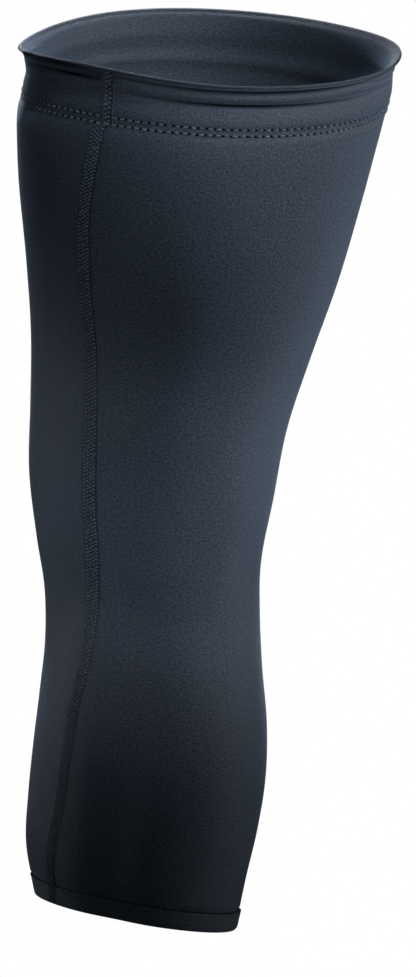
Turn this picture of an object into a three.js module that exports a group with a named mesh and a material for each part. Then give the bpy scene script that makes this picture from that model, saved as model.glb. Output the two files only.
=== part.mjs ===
// A long compression sleeve for the knee, as it sits on a slightly bent leg: a knitted panel closed into a
// tube by one flat seam, a doubled cuff round the thigh and a narrow turned hem round the calf.
// Millimetres, +Z up. The origin is the centre of the knee, inside the sleeve. The back of the knee faces
// -Y, the kneecap +Y, and +X is the inner side of the leg.
import * as THREE from 'three';

// Lengths along Z
const LENGTH = 424; // between the centres of the two openings
const KNEE_AT = 0.349; // the share of that length which lies below the centre of the knee
const BELOW_KNEE = LENGTH * KNEE_AT;
const ABOVE_KNEE = LENGTH - BELOW_KNEE;
const CUFF_HEIGHT = 24.4; // the doubled cuff, from its lower row of stitches to the rim
const HEM_HEIGHT = 9.8; // the turned hem at the lower opening

// Outside widths (X) and depths (Y) of the four places that the cloth is cut for
const THIGH_WIDTH = 182;
const THIGH_DEPTH = 188;
const KNEE_WIDTH = 106;
const KNEE_DEPTH = 121;
const CALF_WIDTH = 115;
const CALF_DEPTH = 118;
const HEM_WIDTH = 99;
const HEM_DEPTH = 106;

// Cloth, folds and seams
const CLOTH = 1.2; // one layer of the knitted cloth
const CUFF_THICKNESS = 2.2; // two layers and the elastic's bulk
const HEM_THICKNESS = 2;
const JOIN_GAP = 0.3; // between pieces that are sewn together
const SEAM_WIDTH = 6.6;
const SEAM_THICKNESS = 1;
const PINCH_DEPTH = 6.2; // how far the middle of the cuff sinks into the outer side of the thigh
const CREASE_DEPTH = 1.2; // the cuff's folds, below the pinched cloth
const STITCH_DIP = 1; // how far the cuff's stitches draw the cloth in
const STITCH_REACH = 9; // how far down the tube that dip reaches
const HEM_STEP = 0.8; // how far the hem stands proud of the tube

// Tilts of the two openings, in degrees: roll lowers the inner side, pitch lowers the back
const LOWER_ROLL_DEG = 10.2;
const UPPER_ROLL_DEG = 2.8;
const LOWER_PITCH_DEG = -4.2;
const UPPER_PITCH_DEG = 10.6;

// Counts that set the fineness of the faceted surface
const SIDES = 48;
const TUBE_ROWS = 34;
const DIP_ROWS = 3;

// The heights of the two joins above the centre of the knee
const LOWER_EDGE_OF_CUFF = ABOVE_KNEE - CUFF_HEIGHT;
const UPPER_EDGE_OF_HEM = HEM_HEIGHT - BELOW_KNEE;

const PLACES = {
  thigh: { width: THIGH_WIDTH, depth: THIGH_DEPTH },
  knee: { width: KNEE_WIDTH, depth: KNEE_DEPTH },
  calf: { width: CALF_WIDTH, depth: CALF_DEPTH },
  hem: { width: HEM_WIDTH, depth: HEM_DEPTH },
};

// One row for each section of the leg, from the lower opening, at -1, past the knee, at 0, to the upper
// opening, at 1. Width and aside are shares of the width of the place it follows, depth and behind shares
// of its depth; aside moves the section to the inner side and behind moves it back; seam is the seam's
// turn from the middle of the back, in degrees.
const SECTIONS = [
  { at: -1, of: 'hem', width: 1.014, depth: 1.0, aside: -0.087, behind: 0.05, seam: -53.5 },
  { at: -0.83, of: 'hem', width: 1.105, depth: 1.06, aside: -0.083, behind: 0.072, seam: -48.5 },
  { at: -0.655, of: 'calf', width: 0.99, depth: 0.985, aside: -0.04, behind: 0.078, seam: -44.5 },
  { at: -0.485, of: 'calf', width: 1.0, depth: 1.0, aside: -0.012, behind: 0.08, seam: -43 },
  { at: -0.31, of: 'calf', width: 0.976, depth: 0.985, aside: 0.004, behind: 0.066, seam: -41 },
  { at: -0.14, of: 'knee', width: 1.013, depth: 0.985, aside: 0.006, behind: 0.03, seam: -38.5 },
  { at: 0.017, of: 'knee', width: 1.004, depth: 1.0, aside: -0.001, behind: 0.0, seam: -33.5 },
  { at: 0.11, of: 'knee', width: 1.042, depth: 1.03, aside: -0.016, behind: 0.02, seam: -28.5 },
  { at: 0.23, of: 'knee', width: 1.131, depth: 1.1, aside: -0.003, behind: 0.06, seam: -26.5 },
  { at: 0.355, of: 'thigh', width: 0.6885, depth: 0.765, aside: 0.019, behind: 0.075, seam: -27.5 },
  { at: 0.478, of: 'thigh', width: 0.7435, depth: 0.815, aside: 0.051, behind: 0.105, seam: -31.5 },
  { at: 0.616, of: 'thigh', width: 0.8245, depth: 0.88, aside: 0.083, behind: 0.14, seam: -35.5 },
  { at: 0.754, of: 'thigh', width: 0.8979, depth: 0.935, aside: 0.1063, behind: 0.17, seam: -35 },
  { at: 0.877, of: 'thigh', width: 0.9489, depth: 0.97, aside: 0.1303, behind: 0.2, seam: -32.5 },
  { at: 1, of: 'thigh', width: 1.0054, depth: 1.0, aside: 0.1563, behind: 0.223, seam: -30.4 },
];

// The leg's own forms under the cloth. at is as in SECTIONS, and turn is the place round the leg, in
// degrees from the middle of the back; tall and out are shares of the depth of the place it follows;
// spread is in degrees; out is negative for a hollow.
const FORMS = [
  { name: 'kneecap', of: 'knee', at: 0.025, turn: 180, tall: 0.32, spread: 34, out: 0.055 },
  { name: 'above the kneecap', of: 'knee', at: 0.2, turn: 180, tall: 0.24, spread: 34, out: -0.018 },
  { name: 'shin', of: 'calf', at: -0.6, turn: 172, tall: 0.62, spread: 24, out: 0.035 },
  { name: 'inner calf', of: 'calf', at: -0.4, turn: 38, tall: 0.42, spread: 26, out: 0.022 },
  { name: 'outer calf', of: 'calf', at: -0.37, turn: -38, tall: 0.38, spread: 24, out: 0.014 },
  { name: 'calf groove', of: 'calf', at: -0.71, turn: -8, tall: 0.5, spread: 15, out: -0.02 },
  { name: 'hollow of the knee', of: 'knee', at: -0.03, turn: -4, tall: 0.3, spread: 26, out: -0.03 },
  { name: 'inner tendons', of: 'knee', at: 0.23, turn: 34, tall: 0.42, spread: 20, out: 0.024 },
  { name: 'outer tendon', of: 'knee', at: 0.215, turn: -40, tall: 0.4, spread: 20, out: 0.016 },
  { name: 'hollow of the thigh', of: 'thigh', at: 0.46, turn: -8, tall: 0.17, spread: 20, out: -0.016 },
  { name: 'outer side of the thigh', of: 'thigh', at: 0.955, turn: -60, tall: 0.5, spread: 26, out: 0.024 },
  { name: 'back of the thigh', of: 'thigh', at: 0.74, turn: 16, tall: 0.32, spread: 34, out: 0.018 },
];

// The pinch that the cuff's elastic makes, from its lower edge up to the rim. up is the share of the
// cuff's height, and outer and inner are shares of the pinch's depth, on the outer and the inner side of
// the thigh.
const CUFF_PINCH = [
  { up: 0.0, outer: 0.3, inner: 0.0 },
  { up: 0.13, outer: 0.75, inner: 0.0 },
  { up: 0.28, outer: 0.9, inner: 0.0 },
  { up: 0.44, outer: 1.0, inner: 0.12 },
  { up: 0.53, outer: 1.0, inner: 0.22 },
  { up: 0.6, outer: 0.92, inner: 0.28 },
  { up: 0.68, outer: 0.8, inner: 0.32 },
  { up: 0.77, outer: 0.7, inner: 0.34 },
  { up: 0.85, outer: 0.62, inner: 0.31 },
  { up: 0.9, outer: 0.52, inner: 0.24 },
  { up: 0.96, outer: 0.26, inner: 0.05 },
];

// The folds that show across the back of the cuff. up is the place in shares of the cuff's height and
// slant how far it climbs in a turn of 90 degrees; tall is a share of the cuff's height, spread in
// degrees, in a share of the creases' depth, negative for a ridge.
const CREASES = [
  { name: 'under the rim', up: 0.88, slant: 0, tall: 0.06, turn: 10, spread: 75, in: 1 },
  { name: 'middle fold', up: 0.57, slant: 0.06, tall: 0.06, turn: 20, spread: 32, in: 1 },
  { name: 'ridge between', up: 0.72, slant: 0.03, tall: 0.08, turn: 20, spread: 45, in: -0.5 },
  { name: 'outer fold', up: 0.72, slant: -0.24, tall: 0.07, turn: -54, spread: 22, in: 0.8 },
];

// Where the rim stands higher than a level cut. rise is a share of the cuff's height; turn and spread as
// above.
const RIM_RISES = [
  { name: 'outer side', turn: -42, spread: 34, rise: 0.16 },
  { name: 'inner side', turn: 96, spread: 26, rise: 0.08 },
];

// How the whole upper end hangs lower on the outer side of the thigh. drop is a share of the cuff's
// height, and reach, how far down it is felt, of the height above the knee; turn and spread as above.
const OUTER_SAG = { turn: -102, spread: 36, drop: 0.17, reach: 0.15 };

// The hem's outer face, from the lower opening up. up is the share of the hem's height, out the share of
// its step.
const HEM_FACE = [
  { up: 0.1, out: 0.75 },
  { up: 0.5, out: 1.0 },
  { up: 0.88, out: 1.1 },
  { up: 1.0, out: 0.6 },
];

const heightOf = (at) => at * (at < 0 ? BELOW_KNEE : ABOVE_KNEE);

// The smooth value of every column of SECTIONS at any height, in millimetres and degrees
const COLUMNS = ['width', 'depth', 'aside', 'behind', 'seam'];
const columnCurve = new THREE.CubicInterpolant(
  SECTIONS.map((row) => heightOf(row.at)),
  SECTIONS.flatMap((row) => {
    const { width, depth } = PLACES[row.of];
    return [row.width * width, row.depth * depth, row.aside * width, row.behind * depth, row.seam];
  }),
  COLUMNS.length,
);

function sectionAt(height) {
  const values = columnCurve.evaluate(height);
  return Object.fromEntries(COLUMNS.map((name, i) => [name, values[i]]));
}

// The share of a form that is felt at a turn round the leg, fading on both sides of its own place
function fade(turn, form) {
  const swing = (THREE.MathUtils.euclideanModulo(turn - form.turn + 180, 360) - 180) / form.spread;
  return Math.exp(-swing * swing);
}

// How far the leg's forms push the cloth out at one place, and the cuff's stitches draw it in
function formsAt(height, turn) {
  const dip = (height - LOWER_EDGE_OF_CUFF) / STITCH_REACH;
  let out = -STITCH_DIP * Math.exp(-dip * dip);
  for (const form of FORMS) {
    const { depth } = PLACES[form.of];
    const rise = (height - heightOf(form.at)) / (form.tall * depth);
    out += form.out * depth * Math.exp(-rise * rise) * fade(turn, form);
  }
  return out;
}

// A point of the sleeve: height is above the knee, turn the degrees from the middle of the back towards
// the inner side, out the distance outside the tube's outer face, and lift a distance up the section's own
// axis.
function sleevePoint(height, turn, out, lift) {
  const { width, depth, aside, behind } = sectionAt(height);
  const swell = formsAt(height, turn) + out;
  const angle = THREE.MathUtils.degToRad(turn);
  const below = (ABOVE_KNEE - height) / (OUTER_SAG.reach * ABOVE_KNEE);
  const sag = OUTER_SAG.drop * CUFF_HEIGHT * Math.exp(-below * below) * fade(turn, OUTER_SAG);
  const local = new THREE.Vector3(
    (width / 2 + swell) * Math.sin(angle),
    -(depth / 2 + swell) * Math.cos(angle),
    lift - sag,
  );
  const upShare = (height + BELOW_KNEE) / (ABOVE_KNEE + BELOW_KNEE);
  const pitch = THREE.MathUtils.degToRad(THREE.MathUtils.lerp(LOWER_PITCH_DEG, UPPER_PITCH_DEG, upShare));
  const roll = THREE.MathUtils.degToRad(THREE.MathUtils.lerp(LOWER_ROLL_DEG, UPPER_ROLL_DEG, upShare));
  const centre = new THREE.Vector3(aside, -behind, height);
  return local.applyEuler(new THREE.Euler(pitch, roll, 0, 'YXZ')).add(centre);
}

// One closed mesh from a closed loop of corners that is carried through a list of steps. The loop runs
// anticlockwise seen from the last step, and place gives the point of a corner at a step. Each end is
// closed by rungs between the loop's two sides, so it follows a curved wall.
function carriedLoop(loop, steps, place) {
  const points = steps.flatMap((step) => loop.map((corner) => place(corner, step)));
  const faces = [];
  for (let s = 0; s + 1 < steps.length; s++) {
    for (let c = 0; c < loop.length; c++) {
      const here = s * loop.length + c;
      const next = s * loop.length + ((c + 1) % loop.length);
      faces.push([here, next, next + loop.length], [here, next + loop.length, here + loop.length]);
    }
  }
  const end = (steps.length - 1) * loop.length;
  for (let low = 0, high = loop.length - 1; high - low > 1; ) {
    const rung = low + high < loop.length ? [low, low + 1, high] : [low, high - 1, high];
    faces.push([...rung].reverse(), rung.map((i) => i + end));
    if (low + high < loop.length) low += 1;
    else high -= 1;
  }
  const geometry = new THREE.BufferGeometry().setFromPoints(points);
  geometry.setIndex(faces.flat());
  geometry.computeVertexNormals();
  return geometry;
}

// The steps round the leg that every wall shares: the panel's first edge, the seam's edge, even steps to
// the seam's other edge, and the panel's last edge. across is the distance kept from the middle of the
// seam.
const turnSteps = [
  { across: JOIN_GAP / 2, share: 0 },
  ...Array.from({ length: SIDES + 1 }, (_, i) => ({ across: SEAM_WIDTH / 2, share: i / SIDES })),
  { across: JOIN_GAP / 2, share: 1 },
];

// A cloth wall: a loop of corners, x being the height above the knee and y the distance outside the tube's
// face, carried round the leg from one edge of the panel to the other. fold and lift give how far a corner
// is pushed out and raised at a turn.
function clothWall(loop, fold = () => 0, lift = () => 0) {
  return carriedLoop(loop, turnSteps, (corner, { across, share }) => {
    const { width, seam } = sectionAt(corner.x);
    const kept = THREE.MathUtils.radToDeg(across / (width / 2));
    const turn = seam + kept + share * (360 - 2 * kept);
    return sleevePoint(corner.x, turn, corner.y + fold(corner, turn), lift(corner, turn));
  });
}

const evenRows = (low, high, count) =>
  Array.from({ length: count }, (_, i) => THREE.MathUtils.lerp(low, high, i / (count - 1)));

// The rows of the tube, shared by the tube and the seam that lies on it: even ones, then closer ones where
// the cuff's stitches draw the cloth in
const tubeFoot = UPPER_EDGE_OF_HEM + JOIN_GAP;
const tubeTop = LOWER_EDGE_OF_CUFF - JOIN_GAP;
const dipStart = tubeTop - STITCH_REACH - STITCH_REACH / 2;
const tubeRows = [
  ...evenRows(tubeFoot, dipStart, TUBE_ROWS),
  ...evenRows(dipStart, tubeTop, DIP_ROWS + 1).slice(1),
];

function knitTube() {
  const inner = tubeRows.map((height) => ({ x: height, y: -CLOTH }));
  const outer = tubeRows.map((height) => ({ x: height, y: 0 })).reverse();
  return clothWall([...inner, ...outer]);
}

// How far the cuff's cloth lies outside the tube's line: its pinch and its creases
function cuffFold(corner, turn) {
  const innerShare = (1 + Math.sin(THREE.MathUtils.degToRad(turn))) / 2;
  let out = -PINCH_DEPTH * THREE.MathUtils.lerp(corner.outer, corner.inner, innerShare);
  for (const crease of CREASES) {
    const climb = (crease.slant * (turn - crease.turn)) / 90;
    const rise = (corner.up - crease.up - climb) / crease.tall;
    out -= crease.in * CREASE_DEPTH * Math.exp(-rise * rise) * fade(turn, crease);
  }
  return out;
}

// How far the cuff is raised: nothing at its stitches and most at the rim
function cuffLift(corner, turn) {
  return RIM_RISES.reduce((lift, wave) => lift + wave.rise * CUFF_HEIGHT * corner.up * fade(turn, wave), 0);
}

const cuffRows = CUFF_PINCH.map((row) => ({ ...row, height: LOWER_EDGE_OF_CUFF + row.up * CUFF_HEIGHT }));

function topCuff() {
  const inner = cuffRows.map((row) => ({ ...row, x: row.height, y: -CUFF_THICKNESS }));
  const outer = cuffRows.map((row) => ({ ...row, x: row.height, y: 0 })).reverse();
  const edge = cuffRows.at(-1);
  const rim = [135, 90, 45].map((degrees) => {
    const angle = THREE.MathUtils.degToRad(degrees);
    const rise = (ABOVE_KNEE - edge.height) * Math.sin(angle);
    return { ...edge, x: edge.height + rise, y: ((Math.cos(angle) - 1) * CUFF_THICKNESS) / 2 };
  });
  return clothWall([...inner, ...rim, ...outer], cuffFold, cuffLift);
}

const hemRows = HEM_FACE.map((row) => ({
  height: row.up * HEM_HEIGHT - BELOW_KNEE,
  face: row.out * HEM_STEP,
}));

function bottomHem() {
  const foot = { x: -BELOW_KNEE, y: HEM_STEP - HEM_THICKNESS / 2 };
  const inner = hemRows.map((row) => ({ x: row.height, y: HEM_STEP - HEM_THICKNESS }));
  const outer = hemRows.map((row) => ({ x: row.height, y: row.face })).reverse();
  return clothWall([foot, ...inner, ...outer]);
}

// A seam strip that lies on a piece. It is carried up a list of rows, and fold and lift give how far the
// cloth below it is pushed out and raised at a row.
function seamStrip(rows, fold = () => 0, lift = () => 0) {
  const half = SEAM_WIDTH / 2;
  const base = JOIN_GAP;
  const top = JOIN_GAP + SEAM_THICKNESS;
  const edge = JOIN_GAP + SEAM_THICKNESS / 2;
  const crown = half - SEAM_THICKNESS / 2;
  const loop = [
    { x: base, y: half },
    { x: base, y: 0 },
    { x: base, y: -half },
    { x: edge, y: -half },
    { x: top, y: -crown },
    { x: top, y: 0 },
    { x: top, y: crown },
    { x: edge, y: half },
  ];
  return carriedLoop(loop, rows, ({ x: out, y: across }, row) => {
    const { width, seam } = sectionAt(row.height);
    const turn = seam + THREE.MathUtils.radToDeg(across / (width / 2));
    return sleevePoint(row.height, turn, out + fold(row, turn), lift(row, turn));
  });
}

const tubeSeam = () => seamStrip(tubeRows.map((height) => ({ height })));
const cuffSeam = () => seamStrip(cuffRows, cuffFold, cuffLift);
const hemSeam = () => seamStrip(hemRows, (row) => row.face);

const cloth = { color: 0x262c33, roughness: 0.78, metalness: 0 };
const thread = { color: 0x2b3540, roughness: 0.6, metalness: 0 };

const PIECES = [
  { name: 'knit_tube', geometry: knitTube(), look: cloth },
  { name: 'top_cuff', geometry: topCuff(), look: cloth },
  { name: 'bottom_hem', geometry: bottomHem(), look: cloth },
  { name: 'tube_seam', geometry: tubeSeam(), look: thread },
  { name: 'cuff_seam', geometry: cuffSeam(), look: thread },
  { name: 'hem_seam', geometry: hemSeam(), look: thread },
];

const sleeve = new THREE.Group();
for (const { name, geometry, look } of PIECES) {
  const mesh = new THREE.Mesh(geometry, new THREE.MeshStandardMaterial(look));
  mesh.name = name;
  sleeve.add(mesh);
}

export default sleeve;
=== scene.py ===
# A long compression sleeve for the knee, as it sits on a slightly bent leg: a knitted tube, a doubled cuff
# on top, a narrow turned hem below and a flat seam up the outer back. Metres, +Z up, origin at the knee's
# centre; the back of the knee faces -Y and +X is the inner side of the leg. Turns are degrees from the
# middle of the back towards the inner side.
import math
from collections import namedtuple

import bpy
import numpy as np
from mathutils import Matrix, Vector


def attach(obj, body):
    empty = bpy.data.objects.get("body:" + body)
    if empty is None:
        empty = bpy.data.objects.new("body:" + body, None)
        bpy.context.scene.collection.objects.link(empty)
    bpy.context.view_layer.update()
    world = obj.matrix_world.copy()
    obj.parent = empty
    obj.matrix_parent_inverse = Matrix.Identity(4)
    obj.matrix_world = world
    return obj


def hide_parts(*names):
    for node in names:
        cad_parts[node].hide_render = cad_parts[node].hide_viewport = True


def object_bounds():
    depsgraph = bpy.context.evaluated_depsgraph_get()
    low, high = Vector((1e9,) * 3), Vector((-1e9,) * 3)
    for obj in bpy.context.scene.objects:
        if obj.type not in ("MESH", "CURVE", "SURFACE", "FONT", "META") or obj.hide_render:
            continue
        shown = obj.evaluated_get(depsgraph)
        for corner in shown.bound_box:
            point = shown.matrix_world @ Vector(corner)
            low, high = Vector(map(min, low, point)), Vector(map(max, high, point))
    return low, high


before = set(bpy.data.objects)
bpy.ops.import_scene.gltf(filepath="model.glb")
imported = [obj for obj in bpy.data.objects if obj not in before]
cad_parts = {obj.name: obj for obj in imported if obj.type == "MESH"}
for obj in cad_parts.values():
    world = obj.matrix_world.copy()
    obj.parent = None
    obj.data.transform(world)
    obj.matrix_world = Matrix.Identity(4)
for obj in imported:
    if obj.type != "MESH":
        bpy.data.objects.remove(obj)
cad_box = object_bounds()

# The knitted tube: one panel of smooth nylon and elastane knit, near black with a slate sheen. It is cut to
# the leg's shape, stretched round it and closed by the flat seam; its wales run up the leg.
LENGTH = 0.424  # between the centres of the two openings
KNEE_AT = 0.349  # the share of that length below the centre of the knee
BELOW_KNEE = LENGTH * KNEE_AT
ABOVE_KNEE = LENGTH - BELOW_KNEE
CUFF_HEIGHT = 0.0244
HEM_HEIGHT = 0.0098
TUBE_TOP = ABOVE_KNEE - CUFF_HEIGHT
TUBE_FOOT = HEM_HEIGHT - BELOW_KNEE
CLOTH = 0.0012  # one layer of the knit
TUCK = 0.002  # how far the tube's ends run on behind the cuff and the hem
TUCK_IN = 0.0008  # and how far they are drawn in there
STITCH_DIP = 0.0003  # how far the cuff's stitches draw the cloth in
STITCH_REACH = 0.009
PINCH_DEPTH = 0.0062  # how far the cuff's elastic sinks into the outer side of the thigh
JOIN_REACH = 0.0045  # how far down the tube the pinch is felt
LOWER_ROLL = 10.2  # degrees, lowers the inner side
UPPER_ROLL = 2.8
LOWER_PITCH = -4.2  # degrees, lowers the back where it is positive
UPPER_PITCH = 10.6
COLUMNS_ROUND = 168
OUTER_ROWS = 200
INNER_ROWS = 60
SHARP_ANGLE = math.radians(60)  # an edge of cloth that turns more than this is sharp

WIDTH = {"thigh": 0.182, "knee": 0.106, "calf": 0.115, "hem": 0.099}
DEPTH = {"thigh": 0.188, "knee": 0.121, "calf": 0.118, "hem": 0.106}

# The cutting table, from the lower opening, at -1, past the knee, at 0, to the upper opening, at 1. Width
# and aside are shares of the place's width, depth and behind of its depth, and seam is the seam's turn.
Section = namedtuple("Section", "at place width depth aside behind seam")
SECTIONS = [
    Section(-1, "hem", 1.014, 1.0, -0.087, 0.05, -54),
    Section(-0.83, "hem", 1.105, 1.06, -0.083, 0.072, -49.8),
    Section(-0.655, "calf", 0.99, 0.985, -0.04, 0.078, -45.2),
    Section(-0.485, "calf", 1.0, 1.0, -0.012, 0.08, -43.7),
    Section(-0.31, "calf", 0.976, 0.985, 0.004, 0.066, -41.6),
    Section(-0.14, "knee", 1.013, 0.985, 0.006, 0.03, -36.8),
    Section(0.017, "knee", 1.004, 1.0, -0.001, 0.0, -32.1),
    Section(0.11, "knee", 1.042, 1.03, -0.016, 0.02, -28.7),
    Section(0.23, "knee", 1.131, 1.1, -0.003, 0.06, -28.5),
    Section(0.355, "thigh", 0.6885, 0.765, 0.019, 0.075, -30.1),
    Section(0.478, "thigh", 0.7435, 0.815, 0.051, 0.105, -32.9),
    Section(0.616, "thigh", 0.8245, 0.88, 0.083, 0.14, -36.2),
    Section(0.754, "thigh", 0.8979, 0.935, 0.1063, 0.17, -35.9),
    Section(0.877, "thigh", 0.9489, 0.97, 0.1303, 0.2, -33.1),
    Section(1, "thigh", 1.0054, 1.0, 0.1563, 0.223, -31.6),
]

# The leg's forms under the cloth: at and turn are the place, tall and out are shares of the depth there,
# and spread is in degrees; out is negative for a hollow.
Form = namedtuple("Form", "name place at turn tall spread out")
FORMS = [
    Form("kneecap", "knee", 0.025, 180, 0.32, 34, 0.055),
    Form("above the kneecap", "knee", 0.2, 180, 0.24, 34, -0.018),
    Form("shin", "calf", -0.6, 172, 0.62, 24, 0.035),
    Form("inner calf", "calf", -0.4, 38, 0.42, 26, 0.022),
    Form("outer calf", "calf", -0.37, -38, 0.38, 24, 0.014),
    Form("calf groove", "calf", -0.74, -13, 0.62, 14, -0.032),
    Form("hollow of the knee", "knee", 0.06, -12, 0.75, 15, -0.034),
    Form("inner tendons", "knee", 0.23, 34, 0.42, 20, 0.024),
    Form("outer tendon", "knee", 0.215, -40, 0.4, 20, 0.016),
    Form("hollow of the thigh", "thigh", 0.5, -14, 0.24, 13, -0.018),
    Form("outer side of the thigh", "thigh", 0.955, -60, 0.5, 26, 0.024),
    Form("back of the thigh", "thigh", 0.74, 16, 0.32, 34, 0.018),
]

# How the upper end hangs lower on the outer side: drop is a share of the cuff's height, and reach of
# ABOVE_KNEE.
Sag = namedtuple("Sag", "turn spread drop reach")
OUTER_SAG = Sag(-102, 36, 0.17, 0.15)

# The cuff's pinch from its stitches, up 0, to its rim, up 1, in shares of PINCH_DEPTH on each side of the
# thigh.
Pinch = namedtuple("Pinch", "up outer inner")
CUFF_PINCH = [
    Pinch(0.0, 0.43, 0.0),
    Pinch(0.13, 0.5, 0.0),
    Pinch(0.28, 0.6, 0.0),
    Pinch(0.44, 0.78, 0.12),
    Pinch(0.53, 0.85, 0.22),
    Pinch(0.6, 0.84, 0.28),
    Pinch(0.68, 0.8, 0.32),
    Pinch(0.77, 0.74, 0.34),
    Pinch(0.85, 0.66, 0.31),
    Pinch(0.9, 0.54, 0.24),
    Pinch(0.96, 0.26, 0.05),
]


def smooth_through(stations, values, where):
    """The smooth curve through a table's column, read at any places"""
    stations, values = np.array(stations), np.array(values)
    slopes = np.diff(values) / np.diff(stations)
    lean = np.concatenate([slopes[:1], (slopes[1:] + slopes[:-1]) / 2, slopes[-1:]])
    at = np.clip(np.searchsorted(stations, where, side="right") - 1, 0, len(stations) - 2)
    step = stations[at + 1] - stations[at]
    p = (where - stations[at]) / step
    low = (1 + 2 * p) * (1 - p) ** 2 * values[at] + p * (1 - p) ** 2 * step * lean[at]
    return low + p**2 * (3 - 2 * p) * values[at + 1] + p**2 * (p - 1) * step * lean[at + 1]


def height_of(at):
    """The height of a place in the cutting table"""
    return at * (BELOW_KNEE if at < 0 else ABOVE_KNEE)


def cut(column, height):
    """One column of the cutting table at any height, in metres or degrees"""
    stations = [height_of(row.at) for row in SECTIONS]
    sizes = {"width": WIDTH, "aside": WIDTH, "depth": DEPTH, "behind": DEPTH}.get(column)
    values = [getattr(row, column) * (sizes[row.place] if sizes else 1) for row in SECTIONS]
    return smooth_through(stations, values, height)


def fade(turn, form):
    """How much of a form is felt at a turn"""
    swing = ((turn - form.turn + 180) % 360 - 180) / form.spread
    return np.exp(-(swing**2))


def pinch(up, turn):
    """How far the elastic draws the cuff in"""
    ups = [row.up for row in CUFF_PINCH]
    outer = smooth_through(ups, [row.outer for row in CUFF_PINCH], up)
    inner = smooth_through(ups, [row.inner for row in CUFF_PINCH], up)
    inner_share = (1 + np.sin(np.radians(turn))) / 2
    return PINCH_DEPTH * (outer + (inner - outer) * inner_share)


def leg_swell(height, turn):
    """How far the leg's forms push the cloth out"""
    out = -STITCH_DIP * np.exp(-(((height - TUBE_TOP) / STITCH_REACH) ** 2))
    for form in FORMS:
        depth = DEPTH[form.place]
        rise = (height - height_of(form.at)) / (form.tall * depth)
        out = out + form.out * depth * np.exp(-(rise**2)) * fade(turn, form)
    return out


def on_sleeve(height, turn, out=0.0, lift=0.0):
    """Points of the sleeve: out is outside the tube's face, and lift runs up the section's own axis"""
    height, turn = np.broadcast_arrays(np.asarray(height, float), np.asarray(turn, float))
    swell = leg_swell(height, turn) + out
    angle = np.radians(turn)
    below = (ABOVE_KNEE - height) / (OUTER_SAG.reach * ABOVE_KNEE)
    sag = OUTER_SAG.drop * CUFF_HEIGHT * np.exp(-(below**2)) * fade(turn, OUTER_SAG)
    across = (cut("width", height) / 2 + swell) * np.sin(angle)
    along = -(cut("depth", height) / 2 + swell) * np.cos(angle)
    rise = lift - sag
    up_share = (height + BELOW_KNEE) / LENGTH
    pitch = np.radians(LOWER_PITCH + (UPPER_PITCH - LOWER_PITCH) * up_share)
    roll = np.radians(LOWER_ROLL + (UPPER_ROLL - LOWER_ROLL) * up_share)
    back = along * np.cos(pitch) - rise * np.sin(pitch)
    top = along * np.sin(pitch) + rise * np.cos(pitch)
    x = across * np.cos(roll) + top * np.sin(roll) + cut("aside", height)
    z = top * np.cos(roll) - across * np.sin(roll) + height
    return np.stack([x, back - cut("behind", height), z], axis=-1)


def tube_face(height, turn, out=0.0):
    """The tube's outer face, drawn in towards the pinched foot of the cuff and on behind it"""
    below = np.maximum(TUBE_TOP - height, 0) / JOIN_REACH
    behind = np.maximum(height - TUBE_TOP, 0) / CUFF_HEIGHT
    return on_sleeve(height, turn, out - pinch(behind, turn) * np.exp(-below))


def round_the_leg(height):
    """The columns' turns at each height, from the seam once round to the seam again"""
    share = np.linspace(0, 1, COLUMNS_ROUND + 1)
    return cut("seam", height)[:, None] + 360 * share[None, :]


def cloth_place(points, turns, heights):
    """Where each point lies on the cloth: metres round the leg from the middle of the back, and up it"""
    steps = np.linalg.norm(np.diff(points, axis=1), axis=2)
    walked = np.concatenate([np.zeros((len(points), 1)), np.cumsum(steps, axis=1)], axis=1)
    middle = np.array([np.interp(0, turn, way) for turn, way in zip(turns, walked)])
    up = np.broadcast_to(heights[:, None], walked.shape)
    return np.stack([walked - middle[:, None], up], axis=-1)


def sewn_mesh(name, points, place, closed_section=True, closed_round=True):
    """A smooth mesh through rows of points; place is the cloth's own measure at each corner, with a row or a
    column more than the points where the mesh closes on itself"""
    rows, columns = points.shape[:2]
    up = np.arange(rows if closed_section else rows - 1)
    across = np.arange(columns if closed_round else columns - 1)
    row, column = (grid.ravel() for grid in np.meshgrid(up, across, indexing="ij"))
    corners = [(row, column), (row, column + 1), (row + 1, column + 1), (row + 1, column)]
    faces = np.stack([(r % rows) * columns + c % columns for r, c in corners], axis=1)
    mesh = bpy.data.meshes.new(name)
    mesh.from_pydata(points.reshape(-1, 3).tolist(), [], faces.tolist())
    layer = mesh.uv_layers.new(name="Cloth")
    measured = np.stack([place[r, c] for r, c in corners], axis=1)
    layer.uv.foreach_set("vector", measured.astype(np.float32).ravel())
    mesh.shade_smooth()
    mesh.set_sharp_from_angle(angle=SHARP_ANGLE)
    piece = bpy.data.objects.new(name, mesh)
    bpy.context.scene.collection.objects.link(piece)
    return piece


def cloth_wall(name, outer, inner, turns, outer_heights, inner_heights):
    """A closed wall of cloth from its outer and inner faces, each with its rows from the foot up. The inner
    face is measured a whole length further up, so that the painted shade of the rows of needle holes stays
    off it."""
    outer_place = cloth_place(outer, turns, outer_heights)
    share = np.linspace(0, 1, len(inner_heights))
    nearest = np.round(share * (len(outer_heights) - 1)).astype(int)
    inner_place = outer_place[nearest] * [1, 0] + np.array([0, 1]) * (LENGTH + inner_heights[:, None, None])
    points = np.concatenate([outer, inner[::-1]])[:, :-1]
    place = np.concatenate([outer_place, inner_place[::-1], outer_place[:1]])
    return sewn_mesh(name, points, place)


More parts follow.
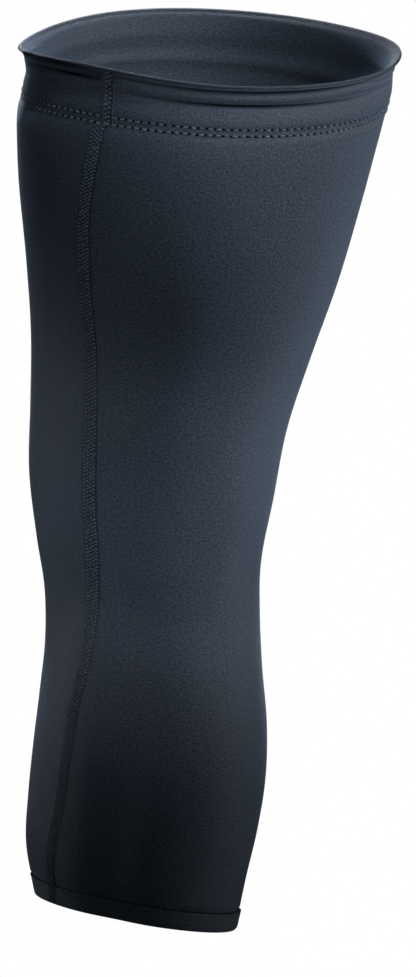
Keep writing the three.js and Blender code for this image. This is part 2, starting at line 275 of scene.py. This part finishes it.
class Wire:
    """A socket in a material's nodes. Sums on it add Math nodes, and node() adds any other kind."""

    def __init__(self, tree, socket=None):
        self.tree = tree
        self.socket = socket

    def node(self, kind, settings=None, inputs=None):
        made = self.tree.nodes.new(kind)
        for name, value in (settings or {}).items():
            setattr(made, name, value)
        for name, value in (inputs or {}).items():
            self.feed(made.inputs[name], value)
        return Wire(self.tree, made.outputs[0])

    def feed(self, socket, value):
        if isinstance(value, Wire):
            self.tree.links.new(value.socket, socket)
        else:
            socket.default_value = value

    def beside(self, output):
        """Another output of the same node, by name or number"""
        return Wire(self.tree, self.socket.node.outputs[output])

    def math(self, operation, *others):
        return self.node("ShaderNodeMath", {"operation": operation}, dict(enumerate((self, *others))))

    def flipped(self, operation, other):
        return self.node("ShaderNodeMath", {"operation": operation}, {0: other, 1: self})

    def __add__(self, other):
        return self.math("ADD", other)

    def __sub__(self, other):
        return self.math("SUBTRACT", other)

    def __mul__(self, other):
        return self.math("MULTIPLY", other)

    def __truediv__(self, other):
        return self.math("DIVIDE", other)

    def __radd__(self, other):
        return self.flipped("ADD", other)

    def __rsub__(self, other):
        return self.flipped("SUBTRACT", other)

    def __rmul__(self, other):
        return self.flipped("MULTIPLY", other)

    def __rtruediv__(self, other):
        return self.flipped("DIVIDE", other)

    def clamped(self):
        return self.math("MAXIMUM", 0.0).math("MINIMUM", 1.0)

    def mixed(self, low, high):
        """A colour from low, where this value is 0, to high, where it is 1"""
        return self.node("ShaderNodeMix", {"data_type": "RGBA"}, {0: self, 6: low, 7: high}).beside(2)


WALE = 0.0014  # from one column of loops to the next
COURSE = 0.0009  # from one row of loops to the next
LOOP_SCALE = 1050.0  # how fine the noise of the single loops is, and below it that of the tufts
TUFT_SCALE = 900.0
TUFT_STRETCH = (0.6, 1.0, 1.0)
LOOP_SHARE = 0.75  # how much of the speckle each of them makes
TUFT_SHARE = 0.38
SPECKLE_CONTRAST = 1.8
DRIFT_SCALE = 26.0
KNIT_RELIEF = 0.00005
KNIT_DARK = (0.008, 0.0105, 0.0175, 1)
KNIT_LIGHT = (0.022, 0.0302, 0.0445, 1)
KNIT_SHEEN = (0.42, 0.6, 0.87, 1)
KNIT_GLOSS = (0.86, 0.94, 1.0, 1)
# a near black that the knit turns to in its dark gaps, and where the marks lay painted shade
DEEP_SHADE = (0.0008, 0.0009, 0.0012, 1)


def knit_finish(name, marks=None, light=KNIT_LIGHT, sheen=0.23):
    """Smooth knit: a speckle of single loops, and of tufts drawn out round the leg, with dark gaps between
    them, over faint wales and courses and a slow drift of tone. marks gives a mask of other places in
    painted shade, such as the needle holes, from metres round the leg and up it."""
    material = bpy.data.materials.new(name)
    material.use_nodes = True
    tree = material.node_tree
    shader = tree.nodes["Principled BSDF"]
    cloth = Wire(tree).node("ShaderNodeUVMap", {"uv_map": "Cloth"})
    across = cloth.node("ShaderNodeSeparateXYZ", inputs={"Vector": cloth})
    up = across.beside("Y")
    wales = (across * (math.tau / WALE)).math("SINE")
    courses = (up * (math.tau / COURSE)).math("SINE")
    loops = cloth.node(
        "ShaderNodeTexNoise", inputs={"Vector": cloth, "Scale": LOOP_SCALE, "Detail": 2.0, "Roughness": 0.7}
    )
    stretched = cloth.node("ShaderNodeVectorMath", {"operation": "MULTIPLY"}, {0: cloth, 1: TUFT_STRETCH})
    tufts = cloth.node("ShaderNodeTexNoise", inputs={"Vector": stretched, "Scale": TUFT_SCALE, "Detail": 1.0})
    speckle = loops * LOOP_SHARE + tufts * TUFT_SHARE - (LOOP_SHARE + TUFT_SHARE) / 2
    drift = cloth.node("ShaderNodeTexNoise", inputs={"Vector": cloth, "Scale": DRIFT_SCALE, "Detail": 3.0})
    tone = (0.5 + wales * 0.04 + speckle * SPECKLE_CONTRAST + (drift - 0.5) * 0.35).clamped()
    height = wales * 0.12 + courses * 0.08 + speckle * 5.0
    bump = cloth.node("ShaderNodeBump", inputs={"Height": height, "Strength": 1.0, "Distance": KNIT_RELIEF})
    bump.feed(shader.inputs["Base Color"], tone.mixed(KNIT_DARK, light))
    bump.feed(shader.inputs["Roughness"], 0.66 + speckle * 0.3)
    bump.feed(shader.inputs["Normal"], bump)
    deep = (0.11 - speckle * SPECKLE_CONTRAST).clamped()
    # the marks are painted shade
    if marks:
        deep = deep.math("MAXIMUM", marks(across, up))
    shade_inputs = {"Base Color": DEEP_SHADE, "Roughness": 1.0, "Specular IOR Level": 0.0}
    shaded = cloth.node("ShaderNodeBsdfPrincipled", inputs=shade_inputs)
    cover = cloth.node("ShaderNodeMixShader", inputs={0: deep, 1: Wire(tree, shader.outputs[0]), 2: shaded})
    cover.feed(tree.nodes["Material Output"].inputs["Surface"], cover)
    shader.inputs["Specular IOR Level"].default_value = 0.2
    shader.inputs["Specular Tint"].default_value = KNIT_GLOSS
    shader.inputs["Sheen Weight"].default_value = sheen
    shader.inputs["Sheen Roughness"].default_value = 0.4
    shader.inputs["Sheen Tint"].default_value = KNIT_SHEEN
    return material


STITCH_ROWS = (0.0003, 0.0034)  # the cuff's two rows of stitches, above the tube's top
STITCH_PITCH = 0.00385
HOLE_FADE = 0.0005  # over this height the painted shade of a needle hole fades into the knit


def needle_hole_shade(across, up):
    """A mask of painted shade in the gaps between the stitches of the cuff's two rows"""
    along = (across * (math.tau / STITCH_PITCH)).math("COSINE")
    gap = (0.35 - along * 1.4).clamped() * 0.95
    lower, upper = (((up - TUBE_TOP - row) / HOLE_FADE).math("ABSOLUTE") for row in STITCH_ROWS)
    return gap * (1.6 - lower.math("MINIMUM", upper)).clamped()


outer_heights = np.linspace(TUBE_FOOT - TUCK, TUBE_TOP + TUCK, OUTER_ROWS)
inner_heights = np.linspace(TUBE_FOOT - TUCK, TUBE_TOP + TUCK, INNER_ROWS)
tucked = (outer_heights > TUBE_TOP) | (outer_heights < TUBE_FOOT)
outer_turns = round_the_leg(outer_heights)
tube = cloth_wall(
    "knitted_tube",
    tube_face(outer_heights[:, None], outer_turns, -TUCK_IN * tucked[:, None]),
    tube_face(inner_heights[:, None], round_the_leg(inner_heights), -CLOTH),
    outer_turns,
    outer_heights,
    inner_heights,
)
tube.data.materials.append(knit_finish("smooth_knit", needle_hole_shade))
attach(tube, "root")
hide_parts("knit_tube")

# The doubled cuff: the same knit folded over an elastic and held by two rows of stitches. It grips the thigh,
# so it sinks in on the outer side, its rim rolls and it creases across the back.
CUFF_THICKNESS = 0.0022
CREASE_DEPTH = 0.0016
CUFF_ROWS = 64
RIM_STEPS = 9
LAST_UP = 0.96  # where the rim's roll starts

# up is the place in shares of the cuff's height and slant its climb in 90 degrees; tall is such a share too,
# spread is in degrees, deep a share of CREASE_DEPTH, negative for a ridge, and shade how dark its painted
# shade is.
Crease = namedtuple("Crease", "name up slant tall turn spread deep shade")
CREASES = [
    Crease("under the rim", 0.865, 0.05, 0.042, 22, 54, 1.1, 0.95),
    Crease("middle fold", 0.59, 0.03, 0.034, 9, 26, 1.0, 1.0),
    Crease("middle fold, inner end", 0.6, 0.0, 0.034, 46, 24, 0.6, 0.45),
    Crease("ridge between", 0.73, 0.03, 0.08, 20, 50, -0.5, 0.0),
    Crease("outer fold", 0.75, 0.0, 0.045, -43, 11, 1.0, 0.95),
    Crease("outer end of the fold", 0.77, 0.0, 0.04, -60, 12, 0.6, 0.5),
    Crease("outer fold below the rim", 0.91, 0.0, 0.05, -50, 18, 0.8, 0.85),
    Crease("inner fold", 0.72, -0.5, 0.03, 76, 14, 0.5, 0.3),
    Crease("rows of stitches", 0.08, 0.0, 0.09, 0, 900, 0.25, 0.0),
]

Rise = namedtuple("Rise", "name turn spread rise")
RIM_RISES = [
    Rise("outer side", -42, 34, 0.16),
    Rise("inner side", 96, 26, 0.08),
]


def felt(crease, up, turn):
    """How much of a crease is felt at a place of the cuff"""
    climb = crease.slant * ((turn - crease.turn + 180) % 360 - 180) / 90
    rise = (up - crease.up - climb) / crease.tall
    return np.exp(-(rise**2)) * fade(turn, crease)


def cuff_face(up, turn, out=0.0, above=0.0):
    """A point of the cuff: up is 0 at its foot and 1 at the rim, above is a height beyond that"""
    fold = -pinch(np.minimum(up, LAST_UP), turn)
    for crease in CREASES:
        fold = fold - crease.deep * CREASE_DEPTH * felt(crease, up, turn)
    lift = sum(wave.rise * CUFF_HEIGHT * up * fade(turn, wave) for wave in RIM_RISES)
    return on_sleeve(TUBE_TOP + up * CUFF_HEIGHT + above, turn, out + fold, lift)


cuff_ups = np.linspace(0, LAST_UP, CUFF_ROWS)
roll = np.radians(np.linspace(0, 180, RIM_STEPS + 2)[1:-1])
roll_rise = (1 - LAST_UP) * CUFF_HEIGHT * np.sin(roll)
roll_in = CUFF_THICKNESS / 2 * (np.cos(roll) - 1)
ups = np.concatenate([cuff_ups, np.full(RIM_STEPS, LAST_UP)])[:, None]
above = np.concatenate([np.zeros(CUFF_ROWS), roll_rise])[:, None]
inset = np.concatenate([np.zeros(CUFF_ROWS), roll_in])[:, None]
cuff_heights = TUBE_TOP + ups[:, 0] * CUFF_HEIGHT + above[:, 0]
cuff_turns = round_the_leg(cuff_heights)
inner_ups = np.linspace(0, LAST_UP, CUFF_ROWS // 2)
cuff = cloth_wall(
    "doubled_cuff",
    cuff_face(ups, cuff_turns, inset, above),
    cuff_face(inner_ups[:, None], round_the_leg(TUBE_TOP + inner_ups * CUFF_HEIGHT), -CUFF_THICKNESS),
    cuff_turns,
    cuff_heights,
    TUBE_TOP + inner_ups * CUFF_HEIGHT,
)


def cuff_marks(across, up):
    """Painted shade: in the needle holes, and at the bottom of the creases"""
    creased = across.node("ShaderNodeAttribute", {"attribute_name": "crease_shade"}).beside("Fac")
    return (needle_hole_shade(across, up) + creased).clamped()


# painted shade at the bottom of each crease, kept as a point attribute on the cuff's outer face
shade = np.zeros((len(cuff_heights) + len(inner_ups), COLUMNS_ROUND))
shade[: len(cuff_heights)] = sum(row.shade * felt(row, ups, cuff_turns) for row in CREASES)[:, :-1]
cuff.data.attributes.new("crease_shade", "FLOAT", "POINT").data.foreach_set("value", shade.ravel())
cuff.data.materials.append(knit_finish("cuff_knit", cuff_marks))

# The roll of the rim gets painted shade: a darker knit than the rest, with no sheen.
cuff.data.materials.append(knit_finish("rim_shade_knit", light=KNIT_DARK, sheen=0.0))
on_rim = np.zeros(shade.shape, int)
on_rim[CUFF_ROWS - 2 : CUFF_ROWS + RIM_STEPS // 2] = 1
cuff.data.polygons.foreach_set("material_index", on_rim.ravel())
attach(cuff, "root")
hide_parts("top_cuff")

# The turned hem: a narrow band where the knit is folded inside and stitched, so it stands slightly proud of
# the tube and looks grainier, with one fine line of stitches along its upper edge.
HEM_THICKNESS = 0.002
HEM_STEP = 0.0008  # how far it stands out on the inner side
HEM_OUTER_STEP = 0.3  # and on the outer side, as a share of that
HEM_LINE = 0.001  # the height of the painted shade line along its upper edge
HEM_LINE_FADE = 0.0004
HEM_ROWS = 28
HEM_LIGHT = (0.03, 0.043, 0.054, 1)
FOLD_STEPS = 8
FOLD_FLATNESS = 0.6

Band = namedtuple("Band", "up out")
HEM_BAND = [
    Band(0.0, 0.1),
    Band(0.06, 0.62),
    Band(0.15, 0.88),
    Band(0.5, 1.0),
    Band(0.84, 1.12),
    Band(0.95, 0.95),
    Band(1.0, 0.2),
]


def hem_face(up, turn, out=0.0, above=0.0):
    """A point of the hem: up is 0 at the lower opening and 1 at its stitched edge"""
    proud = HEM_STEP * smooth_through([row.up for row in HEM_BAND], [row.out for row in HEM_BAND], up)
    inner_share = (1 + np.sin(np.radians(turn))) / 2
    proud = proud * (HEM_OUTER_STEP + (1 - HEM_OUTER_STEP) * inner_share)
    return on_sleeve(up * HEM_HEIGHT - BELOW_KNEE + above, turn, out + proud)


hem_ups = np.linspace(0, 1, HEM_ROWS)
turned = np.radians(np.linspace(-180, 0, FOLD_STEPS + 2)[1:-1])
fold_drop = HEM_THICKNESS / 2 * np.sin(turned) * FOLD_FLATNESS
fold_in = HEM_THICKNESS / 2 * (np.cos(turned) - 1)
ups = np.concatenate([np.zeros(FOLD_STEPS), hem_ups])[:, None]
above = np.concatenate([fold_drop, np.zeros(HEM_ROWS)])[:, None]
inset = np.concatenate([fold_in, np.zeros(HEM_ROWS)])[:, None]
hem_heights = ups[:, 0] * HEM_HEIGHT - BELOW_KNEE + above[:, 0]
hem_turns = round_the_leg(hem_heights)
inner_ups = np.linspace(0, 1, HEM_ROWS // 2)
hem = cloth_wall(
    "turned_hem",
    hem_face(ups, hem_turns, inset, above),
    hem_face(inner_ups[:, None], round_the_leg(inner_ups * HEM_HEIGHT - BELOW_KNEE), -HEM_THICKNESS),
    hem_turns,
    hem_heights,
    inner_ups * HEM_HEIGHT - BELOW_KNEE,
)


def hem_line_shade(across, up):
    """Painted shade in a line where the stitches sink the hem's upper edge; the whole inner face is in this
    painted shade too
    """
    return ((up - (TUBE_FOOT - HEM_LINE)) / HEM_LINE_FADE).clamped() * 0.8


hem.data.materials.append(knit_finish("hem_knit", hem_line_shade, HEM_LIGHT))
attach(hem, "root")
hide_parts("bottom_hem")

# The flat seam: a flatlock of polyester thread that joins the panel's two edges on the outer back. Its
# threads lie over a low band in columns of short cross stitches, and on the cuff, which has a length of its
# own, the folded edges of the cloth run up beside them as two ridges.
CUFF_SEAM_SHIFT = 0.0034  # the cuff's own seam is sewn this much further in at its foot
SEAM_TO_RIM = 0.001  # where it ends below the upper opening
SEAM_BAND = 0.0003  # how high the band rises from its edges, and how far out its stitches sit
SEAM_SUNK = 0.0002  # how deep in the cloth the band's edges lie
BAND_FOOT = 0.0004  # how deep in the cloth its underside lies
BAND_EDGE = 0.0006  # the width of its soft edge
BAND_COLUMNS = 45
BAND_STEP = 0.002  # from one row of the band to the next
RIDGE_HEIGHT = 0.0005
RIDGE_WIDTH = 0.0005
SEAM_PITCH = 0.0019
SEAM_SCATTER = 0.00012  # how unevenly the stitches sit
LENGTH_SCATTER = 0.14  # in shares of a stitch
LEAN_SCATTER = 0.22
EDGE_LINE = 0.0005  # the painted shade line along each edge of the band
EDGE_LINE_FADE = 0.0003
KNEE_FADE = 0.06  # over this height, at the knee, that line grows fainter
THREAD_DARK = (0.01, 0.0155, 0.0215, 1)
THREAD_LIGHT = (0.036, 0.052, 0.067, 1)
# the band's knit is darker than the tube's: painted shade from the threads that lie over it
BAND_SHADE_LIGHT = (0.009, 0.0135, 0.024, 1)
SEAM_SEED = 5
STITCH_SIDES = 8
STITCH_RINGS = 7
STITCH_FLATNESS = 0.8
NEARBY = 0.0002  # the step that finds a direction on the cloth

Stitch = namedtuple("Stitch", "length thickness arch")
SEAM_STITCH = Stitch(0.0012, 0.0008, 0.0004)

# low and high are heights, and ridges and stitches are places across the seam, from its middle.
SeamPart = namedtuple("SeamPart", "name low high width ridges stitches")
SEAM_PARTS = [
    SeamPart("tube_seam", TUBE_FOOT, TUBE_TOP, 0.0074, (), (-0.00225, -0.0007, 0.0008, 0.00225)),
    SeamPart("cuff_seam", TUBE_TOP, ABOVE_KNEE - SEAM_TO_RIM, 0.007, (-0.0023, 0.0027), (-0.0008, 0.001)),
    SeamPart("hem_seam", -BELOW_KNEE, TUBE_FOOT, 0.0064, (), (-0.002, -0.0007, 0.0007, 0.002)),
]


def seam_place(part, height, across, out):
    """A point over the seam: across is metres from its middle and out metres outside the cloth"""
    up = (height - TUBE_TOP) / CUFF_HEIGHT
    if part.name == "cuff_seam":
        across = across + CUFF_SEAM_SHIFT * (1 - up)
    turn = cut("seam", height) + np.degrees(across / (cut("width", height) / 2))
    if part.name == "cuff_seam":
        return cuff_face(up, turn, out)
    if part.name == "hem_seam":
        return hem_face((height + BELOW_KNEE) / HEM_HEIGHT, turn, out)
    return tube_face(height, turn, out)


def band_relief(part, across):
    """The height of the seam's band: flat between soft edges, with the folded edges of cloth as ridges"""
    edge = np.clip((part.width / 2 - np.abs(across)) / BAND_EDGE, 0, 1)
    relief = SEAM_BAND * np.sqrt(edge * (2 - edge)) - SEAM_SUNK
    for ridge in part.ridges:
        relief = relief + RIDGE_HEIGHT * np.exp(-(((across - ridge) / RIDGE_WIDTH) ** 2))
    return relief


def stitched_mesh(name, seats, along, across, stitch):
    """Short arched stitches, one at each seat. along and across are the seats' own directions, a stitch runs
    along, and its two ends sink into the cloth."""
    normal = np.cross(across, along)
    normal /= np.linalg.norm(normal, axis=1, keepdims=True)
    rings = np.linspace(-1, 1, STITCH_RINGS)
    sides = np.linspace(0, math.tau, STITCH_SIDES, endpoint=False)
    girth = np.sqrt(np.clip(1 - rings**4, 0.02, 1))[:, None] * stitch.thickness / 2
    run = np.broadcast_to(rings[:, None] * stitch.length / 2, (STITCH_RINGS, STITCH_SIDES))
    side = girth * np.cos(sides)
    out = girth * np.sin(sides) * STITCH_FLATNESS + stitch.arch * (1 - rings[:, None] ** 2)
    template = np.stack([run, side, out], axis=-1).reshape(-1, 3)
    axes = np.stack([along, across, normal], axis=1)
    points = seats[:, None, :] + template @ axes
    steps = np.meshgrid(range(STITCH_RINGS - 1), range(STITCH_SIDES), indexing="ij")
    ring, spoke = (grid.ravel() for grid in steps)
    after = (spoke + 1) % STITCH_SIDES
    near = ring * STITCH_SIDES
    far = near + STITCH_SIDES
    quads = np.stack([near + spoke, near + after, far + after, far + spoke], axis=1)
    ends = [list(range(STITCH_SIDES))[::-1], list(range((STITCH_RINGS - 1) * STITCH_SIDES, len(template)))]
    faces = []
    for first in range(0, len(seats) * len(template), len(template)):
        faces += (quads + first).tolist()
        faces += [[corner + first for corner in end] for end in ends]
    mesh = bpy.data.meshes.new(name)
    mesh.from_pydata(points.reshape(-1, 3).tolist(), [], faces)
    mesh.shade_smooth()
    stitches = bpy.data.objects.new(name, mesh)
    bpy.context.scene.collection.objects.link(stitches)
    return stitches


def thread_finish(name, dark, light):
    """Textured polyester thread: fine fuzz over a slow change of tone, a little paler than the knit"""
    material = bpy.data.materials.new(name)
    material.use_nodes = True
    tree = material.node_tree
    shader = tree.nodes["Principled BSDF"]
    place = Wire(tree).node("ShaderNodeTexCoord").beside("Object")
    fuzz = place.node("ShaderNodeTexNoise", inputs={"Vector": place, "Scale": 2600.0, "Detail": 2.0}) - 0.5
    tone = place.node("ShaderNodeTexNoise", inputs={"Vector": place, "Scale": 420.0, "Detail": 1.0}) - 0.5
    bump = place.node("ShaderNodeBump", inputs={"Height": fuzz, "Strength": 0.6, "Distance": 0.0001})
    bump.feed(shader.inputs["Base Color"], (0.5 + tone * 1.6 + fuzz * 0.6).clamped().mixed(dark, light))
    bump.feed(shader.inputs["Roughness"], 0.5 + fuzz * 0.3)
    bump.feed(shader.inputs["Normal"], bump)
    shader.inputs["Specular IOR Level"].default_value = 0.25
    shader.inputs["Specular Tint"].default_value = KNIT_GLOSS
    shader.inputs["Sheen Weight"].default_value = 0.22
    shader.inputs["Sheen Tint"].default_value = KNIT_SHEEN
    return material


seam_thread = thread_finish("seam_thread", THREAD_DARK, THREAD_LIGHT)


def seam_edge_shade(across, up):
    """Painted shade in lines where the seam's band meets the cloth, fainter below the knee"""
    start = SEAM_PARTS[0].width / 2 - EDGE_LINE
    edge = ((across.math("ABSOLUTE") - start) / EDGE_LINE_FADE).clamped()
    return edge * (0.35 + (up / KNEE_FADE + 0.5).clamped() * 0.55)


# painted shade: the band's darker knit with little sheen, and lines along its edges
shaded_band_knit = knit_finish("seam_band_knit", seam_edge_shade, BAND_SHADE_LIGHT, 0.06)
uneven = np.random.default_rng(SEAM_SEED)


def seam_band(part):
    """The band under one length of the seam: a thin strip that is partly sunk in the cloth"""
    rows = max(8, round((part.high - part.low) / BAND_STEP))
    heights = np.linspace(part.low, part.high, rows)
    across = np.linspace(-part.width / 2, part.width / 2, BAND_COLUMNS)
    over = seam_place(part, heights[:, None], across[None, :], band_relief(part, across[None, :]))
    under = seam_place(part, heights[:, None], across[None, :], -BAND_FOOT)
    loop = np.concatenate([over, under[:, ::-1]], axis=1)
    measure = np.concatenate([across, across[::-1], across[:1]])
    place = np.stack(np.broadcast_arrays(measure[None, :], heights[:, None]), axis=-1)
    band = sewn_mesh(part.name + "_band", loop, place, closed_section=False)
    band.data.materials.append(shaded_band_knit)
    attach(band, "root")
    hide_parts(part.name)
    return band


def seam_stitches(part):
    """The threads over one length of the band: columns of short cross stitches, every other column set half a
    step higher, with each stitch a little uneven in place, length and lean"""
    steps = np.arange(part.low + SEAM_PITCH / 2, part.high - SEAM_PITCH / 4, SEAM_PITCH)
    column, row = (grid.ravel() for grid in np.meshgrid(range(len(part.stitches)), range(len(steps))))
    height = steps[row] + column % 2 * SEAM_PITCH / 2 + uneven.normal(0, SEAM_SCATTER, len(row))
    across = np.array(part.stitches)[column] + uneven.normal(0, SEAM_SCATTER, len(row))
    seats = seam_place(part, height, across, SEAM_BAND)
    sideways = seam_place(part, height, across + NEARBY, SEAM_BAND) - seats
    upward = seam_place(part, height + NEARBY, across, SEAM_BAND) - seats
    sideways /= np.linalg.norm(sideways, axis=1, keepdims=True)
    upward /= np.linalg.norm(upward, axis=1, keepdims=True)
    sideways *= uneven.normal(1, LENGTH_SCATTER, (len(row), 1))
    sideways += upward * uneven.normal(0, LEAN_SCATTER, (len(row), 1))
    stitches = stitched_mesh(part.name + "_stitches", seats, sideways, -upward, SEAM_STITCH)
    stitches.data.materials.append(seam_thread)
    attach(stitches, "root")
    return stitches


seam_pieces = [make(part) for part in SEAM_PARTS for make in (seam_band, seam_stitches)]

# The cuff's stitches: a twin needle sews two rows side by side right round the cuff's foot. Each stitch is a
# short length of the same thread, pulled into the knit at both ends.
ROW_STITCH = Stitch(0.0025, 0.0008, 0.0005)
NEARBY_TURN = 0.1  # the steps that find a direction on a piece's face
NEARBY_UP = 0.01


def row_of_stitches(name, face, up, row_height, pitch, stitch, thread=seam_thread):
    """One row of stitches round the leg on a piece's face, at equal steps of cloth from the middle of the
    back; up is its place in shares of the piece's height"""
    turns = round_the_leg(np.array([row_height]))
    way = cloth_place(face(np.array([[up]]), turns), turns, np.array([row_height]))[0, :, 0]
    steps = np.arange(math.ceil(way[0] / pitch), math.floor(way[-1] / pitch) + 1) * pitch
    turn = np.interp(steps, way, turns[0])
    seats = face(up, turn)
    along = face(up, turn + NEARBY_TURN) - seats
    upward = face(up + NEARBY_UP, turn) - seats
    along /= np.linalg.norm(along, axis=1, keepdims=True)
    upward /= np.linalg.norm(upward, axis=1, keepdims=True)
    stitches = stitched_mesh(name, seats, along, -upward, stitch)
    stitches.data.materials.append(thread)
    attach(stitches, "root")
    return stitches


def cuff_row(name, above_foot):
    """One of the twin rows, at a height above the cuff's foot"""
    up = above_foot / CUFF_HEIGHT
    return row_of_stitches(name, cuff_face, up, TUBE_TOP + above_foot, STITCH_PITCH, ROW_STITCH)


cuff_rows = [
    cuff_row("lower_cuff_stitches", STITCH_ROWS[0]),
    cuff_row("upper_cuff_stitches", STITCH_ROWS[1]),
]

# The hem's stitches: one fine row of the same thread along the hem's upper edge, set closer and pulled deeper
# than the cuff's, so that it reads as a thin line.
HEM_ROW_UP = 0.93  # a share of the hem's height
HEM_PITCH = 0.0026
HEM_STITCH = Stitch(0.0017, 0.0004, 0.0)
HEM_THREAD = (0.012, 0.016, 0.021, 1)
hem_thread = thread_finish("hem_thread", KNIT_DARK, HEM_THREAD)
hem_row = row_of_stitches(
    "hem_stitches", hem_face, HEM_ROW_UP, TUBE_FOOT, HEM_PITCH, HEM_STITCH, hem_thread
)

# The studio: a plain pale floor well below the sleeve, and a white surround that gives little light itself.
# The lamps are weak: broad ones mostly from the inner side and the front, narrow ones for single places
# behind, and two high ones that light the inside.
FLOOR_BELOW = 0.3
FLOOR_REACH = 1.2
FLOOR_PALE = (1, 1, 1, 1)
floor_z = cad_box[0][2] - FLOOR_BELOW
floor_corners = [(x * FLOOR_REACH, y * FLOOR_REACH, floor_z) for x, y in ((-1, -1), (1, -1), (1, 1), (-1, 1))]
floor_mesh = bpy.data.meshes.new("floor")
floor_mesh.from_pydata(floor_corners, [], [(0, 1, 2, 3)])
floor = bpy.data.objects.new("floor", floor_mesh)
bpy.context.scene.collection.objects.link(floor)
pale_floor = bpy.data.materials.new("pale_floor")
pale_floor.use_nodes = True
floor_shader = pale_floor.node_tree.nodes["Principled BSDF"]
floor_shader.inputs["Base Color"].default_value = (0, 0, 0, 1)
floor_shader.inputs["Specular IOR Level"].default_value = 0.0
floor_shader.inputs["Emission Color"].default_value = FLOOR_PALE
floor_shader.inputs["Emission Strength"].default_value = 1.0
floor_mesh.materials.append(pale_floor)
floor.visible_diffuse = False  # it looks evenly lit and lends the sleeve no light
floor.visible_glossy = False

SURROUND_SEEN = (1, 1, 1, 1)
SURROUND_LIGHT = (0.02, 0.02, 0.02, 1)
surround = bpy.data.worlds.new("surround")
surround.use_nodes = True
bpy.context.scene.world = surround
straight_on = Wire(surround.node_tree).node("ShaderNodeLightPath")
backdrop = surround.node_tree.nodes["Background"]
straight_on.feed(backdrop.inputs["Color"], straight_on.mixed(SURROUND_LIGHT, SURROUND_SEEN))

LAMP_REACH = 0.75  # from the leg
LEG_MIDDLE = (0.02, -0.03)  # what the lamps are aimed at

# rise is a lamp's place above the height that it is aimed at, and spread the full angle of its beam.
Fixture = namedtuple("Fixture", "rise size spread")
PANEL = Fixture(0.22, 0.3, math.radians(40))
LOW_PANEL = Fixture(-0.25, 0.3, math.radians(40))
SPOT = Fixture(0.1, 0.14, math.radians(16))
FINE_SPOT = Fixture(0.1, 0.06, math.radians(9))
HIGH_SPOT = Fixture(1.5, 0.1, math.radians(9))

Lamp = namedtuple("Lamp", "name fixture turn height watts")
LAMPS = [
    Lamp("inner_thigh", PANEL, 75, 0.26, 0.48),
    Lamp("inner_back", PANEL, 55, 0.26, 0.11),
    Lamp("inner_front", PANEL, 115, 0.1, 0.21),
    Lamp("outer_calf", PANEL, -115, -0.07, 0.115),
    Lamp("low_inner_calf", LOW_PANEL, 85, -0.08, 0.096),
    Lamp("back_of_thigh", SPOT, 28, 0.24, 0.068),
    Lamp("middle_of_thigh", SPOT, -5, 0.235, 0.044),
    Lamp("inner_knee", SPOT, 70, 0.1, 0.049),
    Lamp("lower_inner_knee", SPOT, 70, 0.05, 0.021),
    Lamp("back_of_knee", SPOT, 45, 0.05, 0.036),
    Lamp("below_the_knee", SPOT, 28, 0.005, 0.018),
    Lamp("inner_calf", SPOT, 70, -0.1, 0.013),
    Lamp("outer_knee", SPOT, -50, 0.05, 0.073),
    Lamp("outer_foot", SPOT, -75, -0.1, 0.021),
    Lamp("bend_of_the_knee", FINE_SPOT, 15, 0.075, 0.006),
    Lamp("kneecap", PANEL, 170, 0.06, 0.5),
    Lamp("outer_front", PANEL, -168, 0.16, 0.25),
    Lamp("inside_the_front", HIGH_SPOT, 15, 0.24, 0.12),
    Lamp("inside_the_back", HIGH_SPOT, -165, 0.2, 0.3),
]
for lamp in LAMPS:
    light = bpy.data.lights.new(lamp.name, "AREA")
    light.shape = "SQUARE"
    light.size = lamp.fixture.size
    light.spread = lamp.fixture.spread
    light.energy = lamp.watts
    aim = Vector((*LEG_MIDDLE, lamp.height))
    turn = math.radians(lamp.turn)
    reach = Vector((LAMP_REACH * math.sin(turn), -LAMP_REACH * math.cos(turn), lamp.fixture.rise))
    holder = bpy.data.objects.new(lamp.name, light)
    holder.location = aim + reach
    holder.rotation_euler = (-reach).to_track_quat("-Z", "Y").to_euler()
    bpy.context.scene.collection.objects.link(holder)

bpy.context.scene.view_settings.view_transform = "Standard"

# The camera stands behind the leg, a little above the knee, with a long lens.
CAMERA_PLACE = Vector((0.0272, -2.38063, 0.31008))
CAMERA_AIM = Vector((0.0272, 0.00622, 0.05921))
SENSOR_HEIGHT = 36  # millimetres, as is the lens
LENS_LENGTH = 180.5
lens = bpy.data.cameras.new("camera")
lens.sensor_fit = "VERTICAL"
lens.sensor_height = SENSOR_HEIGHT
lens.lens = LENS_LENGTH
camera = bpy.data.objects.new("camera", lens)
camera.location = CAMERA_PLACE
camera.rotation_euler = (CAMERA_AIM - CAMERA_PLACE).to_track_quat("-Z", "Y").to_euler()
bpy.context.scene.collection.objects.link(camera)
bpy.context.scene.camera = camera
